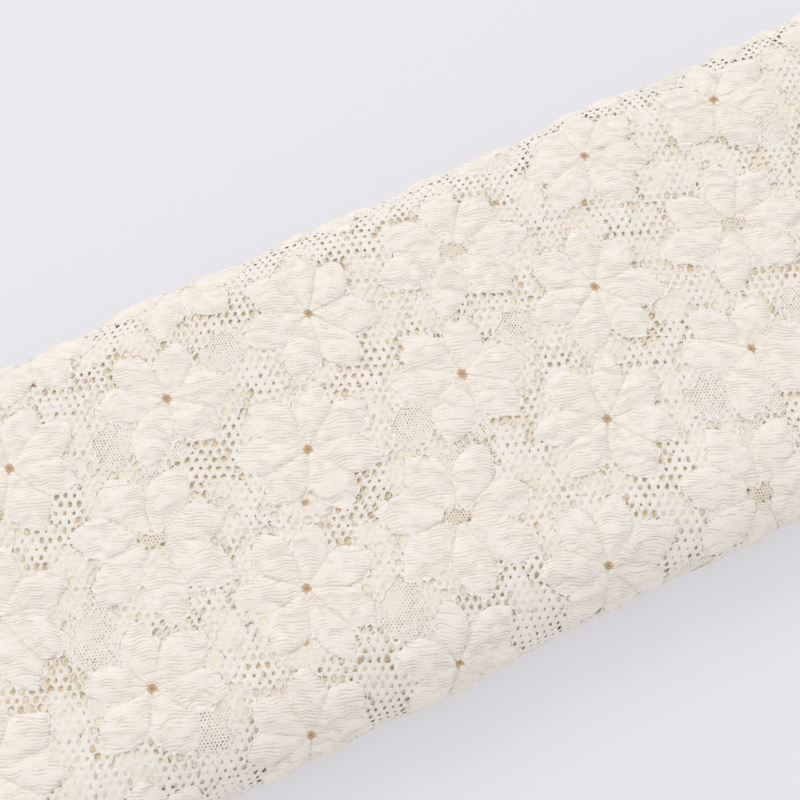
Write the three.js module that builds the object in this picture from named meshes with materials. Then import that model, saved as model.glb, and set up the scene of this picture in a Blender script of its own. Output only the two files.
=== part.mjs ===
// A length of ivory floral lace, wound flat into a long soft roll. It is one solid: the wound
// form with its rounded long edges, the step where the outer end of the cloth lies on the turn
// under it, and the flowers raised on its outside. Millimetres, +X along the roll, +Z up, the
// origin at the middle of the face that it rests on.

import * as THREE from "three";
import { ConvexHull } from "three/addons/math/ConvexHull.js";

// The wound form
const ROLL_LENGTH = 380;
const ROLL_WIDTH = 147;
const ROLL_THICKNESS = 34;
const EDGE_BULGE = 1.4; // a long edge is a half ellipse, this much wider than half the thickness
const TURN_PITCH = 1.2; // one layer of lace and the air under it
const LAP_PLACE = 0.72; // how far round the far edge, from top to bottom, the outer end lies
const LAP_RAMP = 16; // the stretch over which the last turn rises onto the next one

// The flowers: rows and columns of the repeat, on the cloth as it lies round the roll
const COLUMN_PITCH = 42;
const COLUMN_TURN = -22; // degrees from the roll's length to the line of a row of flowers
const ROW_PITCH = 43;
const ROW_TURN = 64.8; // degrees from the roll's length to the line up a column of flowers
const MIDDLE_FLOWER = { column: 3, along: -4, girth: -33.3 };
const MOST_COLUMNS = 18; // either way from the middle flower, enough to pass every edge
const MOST_ROWS = 16;
const EVEN_COLUMN_DROP = 0.44; // of a row
const PETAL_HEIGHT = 1;
const PETAL_ROOT_HEIGHT = 0.35; // of the petal's height, in the seam between two petals
const PETAL_ROOT_WIDTH = 0.3; // of the petal's width
const PETAL_WIDEST = 0.6; // of the way from root to tip
const PETAL_RISE = { from: -0.05, to: 0.3 }; // the stretch of a petal over which it rises
const PETAL_FALL = { from: 0.75, to: 1.02 }; // and over which it falls to its tip
const SEAM_FADE = { from: 0.3, to: 0.7 }; // where the seam beside a petal runs out
const FLOWER_REACH = 30;
const PLAIN_END = 4; // the relief dies out over this much at each cut end
const NET_POINT_PITCH = 9; // points of the plain net between the flowers
const PLAIN_POINT_STEP = 3; // on the face that the roll rests on, only one in so many is set
const LEAST_RAISED = 0.02; // of the thickness: nothing is raised nearer to the resting face
const RAISED_BLEND = { from: 0.01, to: 0.2 }; // of the thickness, where waves and petals begin
const LEAST_POINT_GAP = 1.5;
const RIM_STEPS_ALONG = 60;
const RIM_STEPS_ROUND = 66;

// The eight flowers of the repeat. An eye is the hole or net patch in a flower's middle, with its
// half sizes and its shift from the repeat's own point, along a row and up a column. A petal runs
// out from the eye at a turn from the row's line, in degrees, to its tip, in mm from the eye.
const HALF_MOON_WIDE = {
  eye: { row: -0.9, column: -0.5, halfWidth: 3.9, halfHeight: 2.3 },
  petals: [
    { turn: 126, tip: 24, width: 13 },
    { turn: 72, tip: 23, width: 12.5 },
    { turn: 20, tip: 21.5, width: 12.5 },
    { turn: -31, tip: 26.5, width: 13 },
    { turn: -73, tip: 27, width: 12 },
    { turn: -130, tip: 23.5, width: 13.5 },
    { turn: 172, tip: 23.5, width: 12.5 },
  ],
};
const SIX_PETALS_LEFT = {
  eye: { row: -1.5, column: 0.1, halfWidth: 1.2, halfHeight: 1.2 },
  petals: [
    { turn: 103, tip: 19.2, width: 10.5 },
    { turn: 43, tip: 21, width: 13 },
    { turn: -10, tip: 21.5, width: 13 },
    { turn: -60, tip: 22.5, width: 12.5 },
    { turn: -126, tip: 20.6, width: 13 },
    { turn: 170, tip: 18.5, width: 11.5 },
  ],
};
const HALF_MOON_LOW = {
  eye: { row: 0.8, column: -2.7, halfWidth: 3.9, halfHeight: 2 },
  petals: [
    { turn: 103, tip: 22, width: 13 },
    { turn: 60, tip: 21, width: 12.5 },
    { turn: 9, tip: 23, width: 12 },
    { turn: -40, tip: 22.5, width: 12.5 },
    { turn: -96, tip: 23.4, width: 10.5 },
    { turn: -157, tip: 24, width: 12 },
    { turn: 158, tip: 22, width: 12 },
  ],
};
const SIX_PETALS_RIGHT = {
  eye: { row: 1.5, column: -0.5, halfWidth: 1.2, halfHeight: 1.2 },
  petals: [
    { turn: 143, tip: 20.5, width: 12 },
    { turn: 83, tip: 18, width: 11.5 },
    { turn: 9, tip: 19.5, width: 12.5 },
    { turn: -39, tip: 20.5, width: 12 },
    { turn: -103, tip: 21.5, width: 12.5 },
    { turn: -174.5, tip: 20.7, width: 12.5 },
  ],
};
const SEVEN_PETALS_A = {
  eye: { row: -1.5, column: 0.3, halfWidth: 1.2, halfHeight: 1.2 },
  petals: [
    { turn: 129, tip: 22.4, width: 12.5 },
    { turn: 84.5, tip: 20.3, width: 11.5 },
    { turn: 27.5, tip: 21.7, width: 12 },
    { turn: -29, tip: 23, width: 12.5 },
    { turn: -60, tip: 25, width: 12 },
    { turn: -113, tip: 21.2, width: 12.5 },
    { turn: -174.5, tip: 19.5, width: 12.5 },
  ],
};
const SEVEN_PETALS_B = {
  eye: { row: -0.5, column: 1, halfWidth: 1.2, halfHeight: 1.2 },
  petals: [
    { turn: 98, tip: 20, width: 12 },
    { turn: 45, tip: 20, width: 12.5 },
    { turn: 148, tip: 20, width: 12 },
    { turn: -8.5, tip: 20, width: 12.5 },
    { turn: -51, tip: 22.5, width: 12.5 },
    { turn: -116, tip: 21, width: 12.5 },
    { turn: -167.5, tip: 19, width: 12 },
  ],
};
const SEVEN_PETALS_C = {
  eye: { row: 0.2, column: -1.4, halfWidth: 1.2, halfHeight: 1.2 },
  petals: [
    { turn: 101, tip: 21.5, width: 12.5 },
    { turn: 57, tip: 19, width: 12 },
    { turn: 146, tip: 22, width: 12.5 },
    { turn: -5.5, tip: 21, width: 12.5 },
    { turn: -51.5, tip: 22.5, width: 12 },
    { turn: -98, tip: 22, width: 11.5 },
    { turn: -157.5, tip: 20.5, width: 12.5 },
  ],
};
const SEVEN_PETALS_D = {
  eye: { row: -0.5, column: 0.2, halfWidth: 1.2, halfHeight: 1.2 },
  petals: [
    { turn: 136, tip: 22.3, width: 12.5 },
    { turn: 81, tip: 19.2, width: 11.5 },
    { turn: 36, tip: 21, width: 12 },
    { turn: -13.5, tip: 21.5, width: 12 },
    { turn: -58, tip: 23, width: 12.5 },
    { turn: -121, tip: 19.2, width: 12.5 },
    { turn: -174.5, tip: 20.8, width: 12 },
  ],
};
// Four rows in turn, for the columns with an odd number and for those with an even one
const ODD_COLUMN_FLOWERS = [HALF_MOON_WIDE, SIX_PETALS_LEFT, HALF_MOON_LOW, SIX_PETALS_RIGHT];
const EVEN_COLUMN_FLOWERS = [SEVEN_PETALS_A, SEVEN_PETALS_B, SEVEN_PETALS_C, SEVEN_PETALS_D];

// Where points are set on a petal: place runs 0 to 1 from root to tip, side -1 to 1 across it
const PETAL_POINTS = [
  { place: 1, side: 0 },
  { place: 0.9, side: -1 },
  { place: 0.9, side: 1 },
  { place: 0.66, side: -1 },
  { place: 0.66, side: 1 },
  { place: 0.38, side: -1 },
  { place: 0.38, side: 1 },
  { place: 0.84, side: 0 },
  { place: 0.66, side: -0.62 },
  { place: 0.66, side: 0.62 },
  { place: 0.56, side: 0 },
  { place: 0.38, side: -0.55 },
  { place: 0.38, side: 0.55 },
  { place: 0.26, side: 0 },
];

// Slow waves of the wound form, as soft cloth has: size in mm, and full waves along and round it
const SLOW_WAVES = [
  { size: 0.45, along: 3.2, round: 2, start: 0.3 },
  { size: 0.35, along: 5.1, round: -1, start: 1.9 },
  { size: 0.25, along: 8.3, round: 3, start: 4.1 },
];

const HALF_THICKNESS = ROLL_THICKNESS / 2;
const EDGE_REACH = HALF_THICKNESS * EDGE_BULGE;
const HALF_FLAT = ROLL_WIDTH / 2 - EDGE_REACH;

const mix = THREE.MathUtils.lerp;
const radians = THREE.MathUtils.degToRad;
const smooth = THREE.MathUtils.smoothstep;

// Length measured round the half ellipse of a long edge, from its top
const EDGE_SAMPLES = 200;
const edgeLengths = [0];
for (let i = 1; i <= EDGE_SAMPLES; i += 1) {
  const from = (Math.PI * (i - 1)) / EDGE_SAMPLES;
  const to = (Math.PI * i) / EDGE_SAMPLES;
  const across = EDGE_REACH * (Math.sin(to) - Math.sin(from));
  const down = HALF_THICKNESS * (Math.cos(to) - Math.cos(from));
  edgeLengths.push(edgeLengths[i - 1] + Math.hypot(across, down));
}
const EDGE_LENGTH = edgeLengths[EDGE_SAMPLES];
const GIRTH = 4 * HALF_FLAT + 2 * EDGE_LENGTH;
const LAP_GIRTH = HALF_FLAT + LAP_PLACE * EDGE_LENGTH;
const UNDER_LAP_GIRTH = LAP_GIRTH - GIRTH;

function edgeAngle(length) {
  let i = 1;
  while (i < EDGE_SAMPLES && edgeLengths[i] < length) i += 1;
  const share = (length - edgeLengths[i - 1]) / (edgeLengths[i] - edgeLengths[i - 1]);
  return (Math.PI * (i - 1 + share)) / EDGE_SAMPLES;
}

// A place on the wound section. Girth runs from the middle of the top towards the far edge,
// and depth is how far in from the outside the layer lies.
function onSection(girth, depth) {
  let turned = girth;
  if (turned < -GIRTH / 2) turned += GIRTH;
  const side = Math.sign(turned) || 1;
  const length = Math.abs(turned);
  const half = HALF_THICKNESS - depth;
  if (length <= HALF_FLAT) {
    return { y: turned, z: HALF_THICKNESS + half, outY: 0, outZ: 1, height: 1 };
  }
  if (length >= HALF_FLAT + EDGE_LENGTH) {
    const y = side * (2 * HALF_FLAT + EDGE_LENGTH - length);
    return { y, z: HALF_THICKNESS - half, outY: 0, outZ: -1, height: 0 };
  }
  const angle = edgeAngle(length - HALF_FLAT);
  const outward = new THREE.Vector2(Math.sin(angle), EDGE_BULGE * Math.cos(angle)).normalize();
  return {
    y: side * (HALF_FLAT + half * EDGE_BULGE * Math.sin(angle)),
    z: HALF_THICKNESS + half * Math.cos(angle),
    outY: side * outward.x,
    outZ: outward.y,
    height: (1 + Math.cos(angle)) / 2,
  };
}

function slowWave(along, girth) {
  let sum = 0;
  for (const wave of SLOW_WAVES) {
    const turns = (wave.along * along) / ROLL_LENGTH + (wave.round * girth) / GIRTH;
    sum += wave.size * Math.sin(2 * Math.PI * turns + wave.start);
  }
  return sum;
}

// The repeat's two directions as unit vectors on the cloth
const rowLine = new THREE.Vector2(1, 0).rotateAround(new THREE.Vector2(), radians(COLUMN_TURN));
const columnLine = new THREE.Vector2(1, 0).rotateAround(new THREE.Vector2(), radians(ROW_TURN));

function flowerAt(column, row) {
  const isEven = column % 2 === 0;
  const kinds = isEven ? EVEN_COLUMN_FLOWERS : ODD_COLUMN_FLOWERS;
  const kind = kinds[THREE.MathUtils.euclideanModulo(row, kinds.length)];
  const up = -(row + (isEven ? EVEN_COLUMN_DROP : 0));
  const centre = new THREE.Vector2(MIDDLE_FLOWER.along, MIDDLE_FLOWER.girth)
    .addScaledVector(rowLine, (column - MIDDLE_FLOWER.column) * COLUMN_PITCH + kind.eye.row)
    .addScaledVector(columnLine, up * ROW_PITCH + kind.eye.column);
  return { centre, kind };
}

// Half the width of a petal at a place along it: narrow at its root, widest past the middle
function halfWidth(petal, place) {
  const rise = Math.sin((Math.PI / 2) * Math.min(1, place / PETAL_WIDEST));
  const past = Math.max(0, place - PETAL_WIDEST) / (1 - PETAL_WIDEST);
  const fall = Math.sqrt(Math.max(0, 1 - past * past));
  return (petal.width / 2) * mix(PETAL_ROOT_WIDTH, 1, rise) * fall;
}

// A petal's root lies on its flower's eye, which is an ellipse
function petalLine(flower, petal) {
  const turn = radians(petal.turn);
  const { halfWidth: eyeWidth, halfHeight: eyeHeight } = flower.kind.eye;
  const root = 1 / Math.hypot(Math.cos(turn) / eyeWidth, Math.sin(turn) / eyeHeight);
  const out = new THREE.Vector2()
    .addScaledVector(rowLine, Math.cos(turn))
    .addScaledVector(columnLine, Math.sin(turn));
  const across = new THREE.Vector2(-out.y, out.x).normalize();
  return { out, across, centre: flower.centre, petal: { ...petal, root } };
}

function onPetal(line, place, side) {
  const { out, across, centre, petal } = line;
  return centre
    .clone()
    .addScaledVector(out, mix(petal.root, petal.tip, place))
    .addScaledVector(across, side * halfWidth(petal, place));
}

// The height of one petal at a place on the cloth: a pillow, lower where its root is gathered
function petalHeight(line, at) {
  const { out, across, centre, petal } = line;
  const away = at.clone().sub(centre);
  const place = (away.dot(out) / out.lengthSq() - petal.root) / (petal.tip - petal.root);
  if (place <= 0 || place >= 1) return 0;
  const side = away.dot(across) / halfWidth(petal, place);
  if (Math.abs(side) >= 1) return 0;
  const pillow = Math.sqrt(1 - side * side);
  const seam = PETAL_ROOT_HEIGHT * (1 - smooth(place, SEAM_FADE.from, SEAM_FADE.to));
  const rise = smooth(place, PETAL_RISE.from, PETAL_RISE.to);
  const fall = 1 - smooth(place, PETAL_FALL.from, PETAL_FALL.to);
  return PETAL_HEIGHT * Math.max(seam, pillow) * rise * fall;
}

// Every flower that reaches the outer turn
const petals = [];
for (let step = -MOST_COLUMNS; step <= MOST_COLUMNS; step += 1) {
  for (let row = -MOST_ROWS; row <= MOST_ROWS; row += 1) {
    const flower = flowerAt(MIDDLE_FLOWER.column + step, row);
    const { x, y } = flower.centre;
    const isOnLength = Math.abs(x) < ROLL_LENGTH / 2 + FLOWER_REACH;
    const isOnGirth = y > UNDER_LAP_GIRTH - FLOWER_REACH && y < LAP_GIRTH + FLOWER_REACH;
    if (!isOnLength || !isOnGirth) continue;
    for (const petal of flower.kind.petals) petals.push(petalLine(flower, petal));
  }
}

function reliefAt(at) {
  let height = 0;
  for (const line of petals) {
    if (at.distanceTo(line.centre) < FLOWER_REACH) height = Math.max(height, petalHeight(line, at));
  }
  return height;
}

// Points of the outer turn, laid out flat: its four edges first, then the petals, then the net
const points = [];
const cells = new Map();
const cellOf = (value) => Math.floor(value / LEAST_POINT_GAP);

function placePoint(along, girth, isRim) {
  const cellX = cellOf(along);
  const cellY = cellOf(girth);
  if (!isRim) {
    for (let i = cellX - 1; i <= cellX + 1; i += 1) {
      for (let j = cellY - 1; j <= cellY + 1; j += 1) {
        for (const other of cells.get(`${i},${j}`) ?? []) {
          if (Math.hypot(other.x - along, other.y - girth) < LEAST_POINT_GAP) return;
        }
      }
    }
  }
  const point = new THREE.Vector2(along, girth);
  const key = `${cellX},${cellY}`;
  if (!cells.has(key)) cells.set(key, []);
  cells.get(key).push(point);
  points.push(point);
}

const END = ROLL_LENGTH / 2;
for (let i = 0; i <= RIM_STEPS_ALONG; i += 1) {
  const along = mix(-END, END, i / RIM_STEPS_ALONG);
  placePoint(along, UNDER_LAP_GIRTH, true);
  placePoint(along, LAP_GIRTH, true);
}
for (let i = 1; i < RIM_STEPS_ROUND; i += 1) {
  const girth = mix(UNDER_LAP_GIRTH, LAP_GIRTH, i / RIM_STEPS_ROUND);
  placePoint(-END, girth, true);
  placePoint(END, girth, true);
}

const isInside = (at, margin) =>
  Math.abs(at.x) < END - margin && at.y > UNDER_LAP_GIRTH + margin && at.y < LAP_GIRTH - margin;
const isRaised = (girth) => onSection(girth, 0).height > LEAST_RAISED;

for (const line of petals) {
  for (const { place, side } of PETAL_POINTS) {
    const at = onPetal(line, place, side);
    if (isInside(at, LEAST_POINT_GAP) && isRaised(at.y)) placePoint(at.x, at.y, false);
  }
}
const CORNER_GIRTH = HALF_FLAT + EDGE_LENGTH;
for (const girth of [-CORNER_GIRTH, CORNER_GIRTH - GIRTH]) {
  for (let i = 1; i < RIM_STEPS_ALONG; i += 1) {
    placePoint(mix(-END, END, i / RIM_STEPS_ALONG), girth, false);
  }
}
const netRows = Math.floor(GIRTH / NET_POINT_PITCH);
const netColumns = Math.floor(ROLL_LENGTH / NET_POINT_PITCH);
for (let row = 1; row < netRows; row += 1) {
  const girth = mix(UNDER_LAP_GIRTH, LAP_GIRTH, row / netRows);
  const step = isRaised(girth) ? 1 : PLAIN_POINT_STEP;
  for (let column = 1; column < netColumns; column += step) {
    const along = mix(-END, END, (column + (row % 2) / 2) / netColumns);
    const at = new THREE.Vector2(along, girth);
    if (isInside(at, NET_POINT_PITCH / 3) && reliefAt(at) === 0) placePoint(along, girth, false);
  }
}

const LEAST_SLOPE = 1e-9; // under this a face of the hull stands upright, at the layout's edge

// The triangles between the points: each point is lifted by the square of its distance from the
// middle, and the underside of the hull of the lifted points joins each point to its neighbours
const lifted = points.map((at) => new THREE.Vector3(at.x, at.y, at.lengthSq()));
const order = new Map(lifted.map((point, index) => [point, index]));
const hull = new ConvexHull().setFromPoints(lifted);
const triangles = [];
for (const face of hull.faces) {
  if (face.normal.z > -LEAST_SLOPE) continue;
  const first = order.get(face.edge.head().point);
  const second = order.get(face.edge.next.head().point);
  const third = order.get(face.edge.next.next.head().point);
  triangles.push(first, third, second);
}

// The flat layout wound round the section
const positions = points.map((at) => {
  const rise = smooth(at.y - UNDER_LAP_GIRTH, 0, LAP_RAMP);
  const base = onSection(at.y, TURN_PITCH * (1 - rise));
  const offBase = smooth(base.height, RAISED_BLEND.from, RAISED_BLEND.to);
  const offEnd = smooth(END - Math.abs(at.x), 0, PLAIN_END);
  const out = offBase * (slowWave(at.x, at.y) + offEnd * reliefAt(at));
  return new THREE.Vector3(at.x, base.y + out * base.outY, base.z + out * base.outZ);
});

// The step at the outer end: a narrow wall from the cloth's cut edge down to the turn under it
for (let i = 0; i < RIM_STEPS_ALONG; i += 1) {
  const under = 2 * i;
  const over = 2 * i + 1;
  triangles.push(under, over, under + 2);
  triangles.push(over, over + 2, under + 2);
}

// The two flat ends, each closed over its rim
function closeEnd(end) {
  const rim = points
    .map((at, index) => ({ index, girth: at.y, along: at.x }))
    .filter(({ along }) => along === end)
    .sort((a, b) => a.girth - b.girth)
    .map(({ index }) => index);
  const outline = rim.map((index) => new THREE.Vector2(positions[index].y, positions[index].z));
  for (const [a, b, c] of THREE.ShapeUtils.triangulateShape(outline, [])) {
    triangles.push(rim[a], rim[end > 0 ? b : c], rim[end > 0 ? c : b]);
  }
}
closeEnd(-END);
closeEnd(END);

// The solid's box is set about the middle of the face that it rests on
const box = new THREE.Box3().setFromPoints(positions);
const middle = box.getCenter(new THREE.Vector3());
for (const position of positions) position.sub(new THREE.Vector3(middle.x, middle.y, box.min.z));

const geometry = new THREE.BufferGeometry();
geometry.setAttribute(
  "position",
  new THREE.Float32BufferAttribute(positions.flatMap((at) => at.toArray()), 3),
);
geometry.setIndex(triangles);
geometry.computeVertexNormals();

const ivoryLace = new THREE.MeshStandardMaterial({ color: 0xece4d6, roughness: 0.95, metalness: 0 });

const laceRoll = new THREE.Mesh(geometry, ivoryLace);
laceRoll.name = "lace_roll";

const group = new THREE.Group();
group.add(laceRoll);

export default group;
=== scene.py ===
# %% [markdown]
# This lesson dresses a roll of ivory floral lace. The real thing is one length of stretch lace,
# 380 mm wide, wound flat on itself with no card inside, so it has two soft rounded long edges
# and an outer end that lies on the turn under it. Its pattern is knitted: puffy, ribbed petals
# in a net of small open holes. Everything here is mesh code around a plain solid of the wound
# form, which is loaded first and gives the frame that every piece is placed in.

import math
from collections import namedtuple

import bpy
import numpy as np
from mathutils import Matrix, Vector


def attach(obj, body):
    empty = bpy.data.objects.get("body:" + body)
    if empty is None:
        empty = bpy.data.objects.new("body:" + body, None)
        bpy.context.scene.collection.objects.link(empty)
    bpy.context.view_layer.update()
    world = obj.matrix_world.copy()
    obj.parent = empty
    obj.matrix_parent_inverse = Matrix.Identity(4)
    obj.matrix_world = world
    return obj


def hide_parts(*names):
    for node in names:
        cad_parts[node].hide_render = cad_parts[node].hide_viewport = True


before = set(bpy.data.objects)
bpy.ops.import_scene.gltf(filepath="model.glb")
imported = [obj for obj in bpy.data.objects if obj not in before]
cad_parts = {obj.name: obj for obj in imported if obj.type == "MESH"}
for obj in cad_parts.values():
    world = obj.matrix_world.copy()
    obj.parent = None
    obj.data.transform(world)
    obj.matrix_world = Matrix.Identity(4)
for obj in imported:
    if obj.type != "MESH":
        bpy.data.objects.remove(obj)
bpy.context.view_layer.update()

# %% [markdown]
# A roll could be bent from a flat sheet with modifiers, but a formula is easier to control.
# Every point of the lace is first placed on the flat cloth, by its distance along the roll and
# its distance round it, and is then wrapped on the wound section. The section is a flat top and
# bottom joined by two half ellipses. All sizes are millimetres until a mesh is made.

# %% The wound form
ROLL_LENGTH = 380.0
ROLL_WIDTH = 147.0
ROLL_THICKNESS = 34.0
EDGE_BULGE = 1.4  # a long edge is a half ellipse, this much wider than half the thickness
TURN_PITCH = 1.2  # one layer of lace and the air under it
LAP_PLACE = 0.72  # how far round the far edge, from top to bottom, the outer end lies
LAP_RAMP = 16.0  # the stretch over which the last turn rises onto the next one
END = ROLL_LENGTH / 2

HALF_THICKNESS = ROLL_THICKNESS / 2
EDGE_REACH = HALF_THICKNESS * EDGE_BULGE
HALF_FLAT = ROLL_WIDTH / 2 - EDGE_REACH

edge_angles = np.linspace(0, math.pi, 201)
edge_steps = np.hypot(
    EDGE_REACH * np.diff(np.sin(edge_angles)), HALF_THICKNESS * np.diff(np.cos(edge_angles))
)
edge_lengths = np.concatenate([[0], np.cumsum(edge_steps)])
EDGE_LENGTH = edge_lengths[-1]
GIRTH = 4 * HALF_FLAT + 2 * EDGE_LENGTH
LAP_GIRTH = HALF_FLAT + LAP_PLACE * EDGE_LENGTH
UNDER_LAP_GIRTH = LAP_GIRTH - GIRTH
print(f"once round the roll: {GIRTH:.1f} mm")


def smooth(value, low=0.0, high=1.0):
    share = np.clip((value - low) / (high - low), 0, 1)
    return share * share * (3 - 2 * share)


def mix(low, high, share):
    return low + (high - low) * share


def on_section(girth, depth):
    """Where a place on the cloth lies on the section, and which way is out from it there."""
    turned = np.where(girth < -GIRTH / 2, girth + GIRTH, girth)
    side = np.where(turned < 0, -1.0, 1.0)
    length = np.abs(turned)
    half = HALF_THICKNESS - depth
    angle = np.interp(length - HALF_FLAT, edge_lengths, edge_angles)
    is_upper = length < HALF_FLAT + EDGE_LENGTH / 2
    flat_left = np.where(is_upper, length, 2 * HALF_FLAT + EDGE_LENGTH - length)
    y = side * (np.minimum(flat_left, HALF_FLAT) + half * EDGE_BULGE * np.sin(angle))
    z = HALF_THICKNESS + half * np.cos(angle)
    out_y = side * np.sin(angle)
    out_z = EDGE_BULGE * np.cos(angle)
    size = np.hypot(out_y, out_z)
    return y, z, out_y / size, out_z / size, (1 + np.cos(angle)) / 2


# %% [markdown]
# Cloth is never even. A good stand-in for hand-placed dents is noise that repeats exactly on
# every run: a whole-number hash at the corners of a grid, smoothed between them. The same noise
# bends the rows of stitches, puckers the net and gives each petal its own height.

# %% Noise that is the same on every run
def scatter(i, j, seed):
    """A number from -1 to 1 for each pair of whole numbers."""
    n = (np.int64(i) * 374761393 + np.int64(j) * 668265263 + seed * 974634777) & 0xFFFFFFFF
    n = ((n ^ (n >> 13)) * 1274126177) & 0xFFFFFFFF
    return ((n ^ (n >> 16)) & 0xFFFF) / 32767.5 - 1


def drift(x, y, pitch, seed):
    """Soft hills and hollows from -1 to 1, about one pitch apart."""
    u = x / pitch
    v = y / pitch
    i = np.floor(u)
    j = np.floor(v)
    s = smooth(u - i)
    t = smooth(v - j)
    low = mix(scatter(i, j, seed), scatter(i + 1, j, seed), s)
    high = mix(scatter(i, j + 1, seed), scatter(i + 1, j + 1, seed), s)
    return mix(low, high, t)


# %% Wrap a flat place on the cloth round the roll
SLOW_WAVES = [  # size in mm, full waves along and round the roll, and where they start
    {"size": 0.45, "along": 3.2, "round": 2, "start": 0.3},
    {"size": 0.35, "along": 5.1, "round": -1, "start": 1.9},
    {"size": 0.25, "along": 8.3, "round": 3, "start": 4.1},
]
PUCKERS = [  # size in mm and pitch in mm
    {"size": 0.38, "pitch": 26, "seed": 5},
    {"size": 0.26, "pitch": 12, "seed": 6},
]
EDGE_TUCK = 1.3  # mm by which winding draws the long edges in
PRESSED_PEAK = 1.25  # what the relief on the resting face is drawn in by, so that it lies flat
PRESSED_SHARE = 0.7  # of the relief is left there, under the roll's own weight
LEAST_HEIGHT = 0.02


def wave_height(along, girth):
    height = 0
    for wave in SLOW_WAVES:
        turns = wave["along"] * along / ROLL_LENGTH + wave["round"] * girth / GIRTH
        height = height + wave["size"] * np.sin(2 * math.pi * turns + wave["start"])
    for pucker in PUCKERS:
        height = height + pucker["size"] * drift(along, girth, pucker["pitch"], pucker["seed"])
    return height


def wrap(along, girth, out, turn=0):
    """Points in metres from flat cloth places, turn 0 being the outer turn of the roll."""
    rise = smooth(girth - UNDER_LAP_GIRTH, 0, LAP_RAMP)
    depth = TURN_PITCH * (turn + 1 - rise)
    y, z, out_y, out_z, height = on_section(girth, depth)
    raised = smooth(height, 0.01, 0.2)
    inner_share = 1 - depth / HALF_THICKNESS
    lift = raised * wave_height(along, girth) - (1 - raised) * PRESSED_PEAK * inner_share
    lift = lift + out * mix(PRESSED_SHARE, 1, raised) - EDGE_TUCK * out_y**2
    z = np.maximum(z + lift * out_z, LEAST_HEIGHT)
    return np.stack([along, y + lift * out_y, z], axis=-1) * 0.001


# %% [markdown]
# The pattern repeats along two slanted lines: rows of flowers, and columns up which the rows
# follow. The stitches follow them too: the ribs in a petal run along the row line. Four kinds
# of flower take turns up an odd column and four up an even one. Most have a small round eye,
# and two have a half moon of fine net for an eye. A short table holds each kind.

# %% The repeat and its flowers
COLUMN_PITCH = 42.0
COLUMN_TURN = -22.0  # degrees from the roll's length to the line of a row of flowers
ROW_PITCH = 43.0
ROW_TURN = 64.8  # degrees from the roll's length to the line up a column of flowers
MIDDLE_COLUMN = 3
MIDDLE_PLACE = np.array([-4.0, -33.3])
EVEN_COLUMN_DROP = 0.44  # of a row
FLOWER_REACH = 31.0
ROUND_EYE = 0.9
EYE_ROOM = 0.3  # between an eye and the petals round it

Eye = namedtuple("Eye", "row column half_width half_height")
Petal = namedtuple("Petal", "turn tip width root left right")
Patch = namedtuple("Patch", "turn reach along across")
Flower = namedtuple("Flower", "eye petals patches")


def unit(degrees):
    return np.array([math.cos(math.radians(degrees)), math.sin(math.radians(degrees))])


def flower(eye, petals, patches):
    """A kind of flower, from an eye with its shift from the repeat's own point, petals with a
    turn, a tip and a width, and patches of fine net with a turn, a reach and two half sizes."""
    around = sorted(petals, key=lambda petal: petal[0] % 360)
    rooted = []
    befores = around[-1:] + around
    afters = around[1:] + around
    for before, (turn, tip, width), after in zip(befores, around, afters):
        line = unit(turn)
        root = EYE_ROOM + 1 / math.hypot(line[0] / eye.half_width, line[1] / eye.half_height)
        left = math.tan(math.radians((after[0] - turn) % 360 / 2))
        right = math.tan(math.radians((turn - before[0]) % 360 / 2))
        rooted.append(Petal(turn, tip, width, root, left, right))
    return Flower(eye, rooted, [Patch(*patch) for patch in patches])


ODD_COLUMN_FLOWERS = [
    flower(
        Eye(-0.9, -0.5, 3.9, 2.3),
        [(126, 24, 13), (72, 23, 12.5), (20, 21.5, 12.5), (-31, 26.5, 13), (-73, 27, 12),
         (-130, 23.5, 13.5), (172, 23.5, 12.5)],
        [(0, 0, 5.4, 3.8), (-123, 30, 8, 6), (101, 17, 3.5, 2)],
    ),
    flower(
        Eye(-1.5, 0.1, ROUND_EYE, ROUND_EYE),
        [(103, 19.2, 10.5), (43, 21, 13), (-10, 21.5, 13), (-60, 22.5, 12.5),
         (-126, 20.6, 13), (170, 18.5, 11.5)],
        [(138, 20.7, 7, 5.5), (-40, 20.2, 7, 6)],
    ),
    flower(
        Eye(0.8, -2.7, 3.9, 2.0),
        [(103, 22, 13), (60, 21, 12.5), (9, 23, 12), (-40, 22.5, 12.5), (-96, 23.4, 10.5),
         (-157, 24, 12), (158, 22, 12)],
        [(0, 0, 5.4, 3.6)],
    ),
    flower(
        Eye(1.5, -0.5, ROUND_EYE, ROUND_EYE),
        [(143, 20.5, 12), (83, 18, 11.5), (9, 19.5, 12.5), (-39, 20.5, 12),
         (-103, 21.5, 12.5), (-174.5, 20.7, 12.5)],
        [(42, 21.5, 6.5, 6), (-137, 20, 7, 6), (-97, 25.5, 4, 3), (-76, 17, 3, 2)],
    ),
]
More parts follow.
